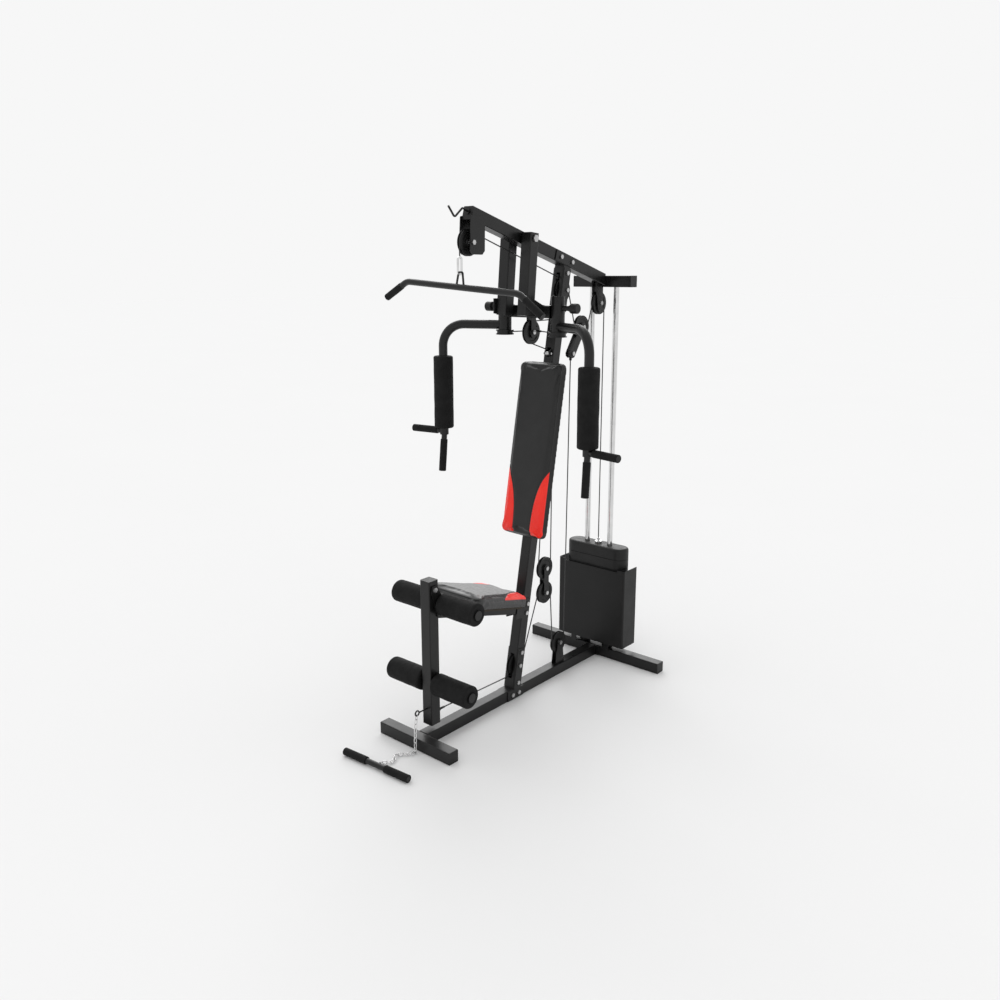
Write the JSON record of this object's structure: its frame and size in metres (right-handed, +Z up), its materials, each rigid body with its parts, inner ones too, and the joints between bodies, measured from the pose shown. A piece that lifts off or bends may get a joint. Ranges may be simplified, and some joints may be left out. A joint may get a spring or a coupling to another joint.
{
  "type": "multi station home gym",
  "caption": "Upright strength trainer with a pulldown bar, fly and press arms, a seat with a leg lever, and a stack of weights lifted by cables behind it.",
  "frame": {"origin": "on the floor under the base rail, in the middle plane and midway between the two stabilisers", "axes": "+Z up, -Y towards the front where the user's legs are, +X to the seated user's left"},
  "size_m": [1.1026, 1.5444, 2.069],
  "materials": {
    "frame_paint": "black powder coat",
    "chrome": "polished plating",
    "bolt_zinc": "zinc plated",
    "plate_vinyl": "black plastic shell",
    "shroud_paint": "black powder coat",
    "foam": "closed cell foam",
    "upholstery": "black vinyl",
    "pad_board": "dark plywood",
    "pulley_nylon": "moulded nylon",
    "cable_coat": "coated wire rope",
    "cap_plastic": "moulded cap",
    "bumper_rubber": "matt"
  },
  "bodies": {
    "frame": {"axles": "bolt_zinc", "backrest_pad": "upholstery", "base_rail": "frame_paint", "end_caps": "cap_plastic", "floating_blocks": "frame_paint", "frame_bolts": "bolt_zinc", "guide_rods": "chrome", "joint_plates": "frame_paint", "lat_bar_hanger": "frame_paint", "lat_cable": "cable_coat", "main_upright": "frame_paint", "pad_boards": "pad_board", "pulley_brackets": "frame_paint", "rear_cables": "cable_coat", "resting_weights": "plate_vinyl", "rod_bumpers": "bumper_rubber", "seat_frame": "frame_paint", "seat_pad": "upholstery", "stabilisers": "frame_paint", "top_boom": "frame_paint", "top_crossbar": "frame_paint", "weight_shroud": "shroud_paint"},
    "weight_stack": {"lifted_weights": "plate_vinyl", "selector_rod": "chrome", "stack_cable": "cable_coat"},
    "selector_pin": {"selector_pin": "chrome"},
    "lat_hanger": {"snap_link": "chrome", "lat_cable_drop": "cable_coat"},
    "lat_bar": {"lat_bar": "frame_paint", "lat_bar_grips": "foam"},
    "front_top_pulley": {"front_top_pulley": "pulley_nylon"},
    "mid_top_pulley": {"mid_top_pulley": "pulley_nylon"},
    "rear_top_pulley": {"rear_top_pulley": "pulley_nylon"},
    "upper_block_pulley": {"upper_block_pulley": "pulley_nylon"},
    "lower_block_top_pulley": {"lower_block_top_pulley": "pulley_nylon"},
    "lower_block_low_pulley": {"lower_block_low_pulley": "pulley_nylon"},
    "foot_pulley": {"foot_pulley": "pulley_nylon"},
    "base_pulley": {"base_pulley": "pulley_nylon"},
    "press_frame": {"press_frame": "frame_paint", "press_pulley_axle": "bolt_zinc", "fly_cables": "cable_coat", "press_cable_run": "cable_coat"},
    "press_pulley": {"press_pulley": "pulley_nylon"},
    "left_arm": {"left_arm": "frame_paint", "left_arm_pads": "foam"},
    "right_arm": {"right_arm": "frame_paint", "right_arm_pads": "foam"},
    "left_lock_pin": {"left_lock_pin": "cap_plastic"},
    "right_lock_pin": {"right_lock_pin": "cap_plastic"},
    "leg_developer": {"leg_developer": "frame_paint", "leg_developer_caps": "cap_plastic", "lower_roller_rod": "frame_paint"},
    "upper_rollers": {"upper_rollers": "foam"},
    "lower_rollers": {"lower_rollers": "foam"},
    "low_cable_swing": {"low_cable_near": "cable_coat"},
    "low_cable_end": {"low_cable_far": "cable_coat"},
    "chain_drop": {"chain_drop": "chrome"},
    "chain_floor": {"chain_floor": "chrome"},
    "foot_bar": {"foot_bar": "frame_paint", "foot_bar_grips": "foam"}
  },
  "joints": [
    {"name": "stack_lift", "type": "slide", "parent": "frame", "child": "weight_stack", "axis": [0, 0, 1], "range_m": [0, 0.5], "deforming": ["stack_cable"]},
    {"name": "selector_pull", "type": "slide", "parent": "weight_stack", "child": "selector_pin", "axis": [0, 1, 0], "range_m": [0, 0.07]},
    {"name": "lat_pull", "type": "slide", "parent": "frame", "child": "lat_hanger", "axis": [0, 0, -1], "range_m": [0, 0.5], "deforming": ["lat_cable_drop"]},
    {"name": "lat_bar_swivel", "type": "hinge", "parent": "lat_hanger", "child": "lat_bar", "pos_m": [0, -0.334, 1.829], "axis": [0, 0, 1], "range_deg": [-12, 12]},
    {"name": "front_top_pulley_spin", "type": "hinge", "parent": "frame", "child": "front_top_pulley", "pos_m": [0, -0.29, 1.938], "axis": [1, 0, 0], "range_deg": [0, 652]},
    {"name": "mid_top_pulley_spin", "type": "hinge", "parent": "frame", "child": "mid_top_pulley", "pos_m": [0, 0.296, 1.757], "axis": [1, 0, 0], "range_deg": [0, 652]},
    {"name": "upper_block_pulley_spin", "type": "hinge", "parent": "frame", "child": "upper_block_pulley", "pos_m": [0, 0.441, 1.596], "axis": [-1, 0, 0], "range_deg": [0, 652]},
    {"name": "rear_top_pulley_spin", "type": "hinge", "parent": "frame", "child": "rear_top_pulley", "pos_m": [0, 0.572, 1.697], "axis": [1, 0, 0], "range_deg": [0, 652]},
    {"name": "lower_block_top_pulley_spin", "type": "hinge", "parent": "frame", "child": "lower_block_top_pulley", "pos_m": [0, 0.195, 0.54], "axis": [1, 0, 0], "continuous": true},
    {"name": "lower_block_low_pulley_spin", "type": "hinge", "parent": "frame", "child": "lower_block_low_pulley", "pos_m": [0, 0.195, 0.425], "axis": [1, 0, 0], "continuous": true},
    {"name": "foot_pulley_spin", "type": "hinge", "parent": "frame", "child": "foot_pulley", "pos_m": [0, -0.01, 0.147], "axis": [1, 0, 0], "continuous": true},
    {"name": "base_pulley_spin", "type": "hinge", "parent": "frame", "child": "base_pulley", "pos_m": [0, 0.303, 0.15], "axis": [1, 0, 0], "continuous": true},
    {"name": "press_swing", "type": "hinge", "parent": "frame", "child": "press_frame", "pos_m": [0, 0.012, 1.9596], "axis": [-1, 0, 0], "range_deg": [0, 35]},
    {"name": "press_pulley_spin", "type": "hinge", "parent": "press_frame", "child": "press_pulley", "pos_m": [0, 0.09, 1.59], "axis": [1, 0, 0], "continuous": true},
    {"name": "left_fly", "type": "hinge", "parent": "press_frame", "child": "left_arm", "pos_m": [0.14, 0.087, 1.685], "axis": [0, 0, -1], "range_deg": [0, 80]},
    {"name": "right_fly", "type": "hinge", "parent": "press_frame", "child": "right_arm", "pos_m": [-0.14, 0.087, 1.685], "axis": [0, 0, 1], "range_deg": [0, 80]},
    {"name": "left_lock_pull", "type": "slide", "parent": "press_frame", "child": "left_lock_pin", "axis": [1, 0, 0], "range_m": [0, 0.012], "stiffness_N_per_m": 800},
    {"name": "right_lock_pull", "type": "slide", "parent": "press_frame", "child": "right_lock_pin", "axis": [-1, 0, 0], "range_m": [0, 0.012], "stiffness_N_per_m": 800},
    {"name": "leg_extension", "type": "hinge", "parent": "frame", "child": "leg_developer", "pos_m": [0, -0.527, 0.64], "axis": [-1, 0, 0], "range_deg": [0, 70]},
    {"name": "upper_rollers_spin", "type": "hinge", "parent": "frame", "child": "upper_rollers", "pos_m": [0, -0.487, 0.572], "axis": [1, 0, 0], "continuous": true},
    {"name": "lower_rollers_spin", "type": "hinge", "parent": "leg_developer", "child": "lower_rollers", "pos_m": [0, -0.527, 0.25], "axis": [1, 0, 0], "continuous": true},
    {"name": "low_cable_turn", "type": "hinge", "parent": "frame", "child": "low_cable_swing", "pos_m": [0, -0.05, 0.103], "axis": [-1, 0, 0], "range_deg": [0, 16.4]},
    {"name": "low_cable_draw", "type": "slide", "parent": "low_cable_swing", "child": "low_cable_end", "axis": [0, -0.9996, 0.0283], "range_m": [0, 0.579]},
    {"name": "chain_hang", "type": "hinge", "parent": "leg_developer", "child": "chain_drop", "pos_m": [0, -0.606, 0.144], "axis": [1, 0, 0], "range_deg": [0, 51]},
    {"name": "chain_lift", "type": "hinge", "parent": "chain_drop", "child": "chain_floor", "pos_m": [0.03, -0.649, 0.0078], "axis": [1, 0, 0], "range_deg": [0, 85]},
    {"name": "foot_bar_level", "type": "hinge", "parent": "chain_floor", "child": "foot_bar", "pos_m": [-0.005, -0.8038, 0.0078], "axis": [-1, 0, 0], "range_deg": [0, 65]}
  ],
  "couplings": [
    {"joint": "lat_pull", "follows": "stack_lift", "ratio": 1},
    {"joint": "front_top_pulley_spin", "follows": "stack_lift", "rad_per_m": 22.727},
    {"joint": "mid_top_pulley_spin", "follows": "stack_lift", "rad_per_m": 22.727},
    {"joint": "upper_block_pulley_spin", "follows": "stack_lift", "rad_per_m": 22.727},
    {"joint": "rear_top_pulley_spin", "follows": "stack_lift", "rad_per_m": 22.727},
    {"joint": "low_cable_turn", "follows": "leg_extension", "ratio": 0.23262},
    {"joint": "low_cable_draw", "follows": "leg_extension", "m_per_rad": 0.47187},
    {"joint": "chain_hang", "follows": "leg_extension", "ratio": 0.72},
    {"joint": "chain_lift", "follows": "leg_extension", "ratio": 1.2},
    {"joint": "foot_bar_level", "follows": "leg_extension", "ratio": 0.92}
  ]
}
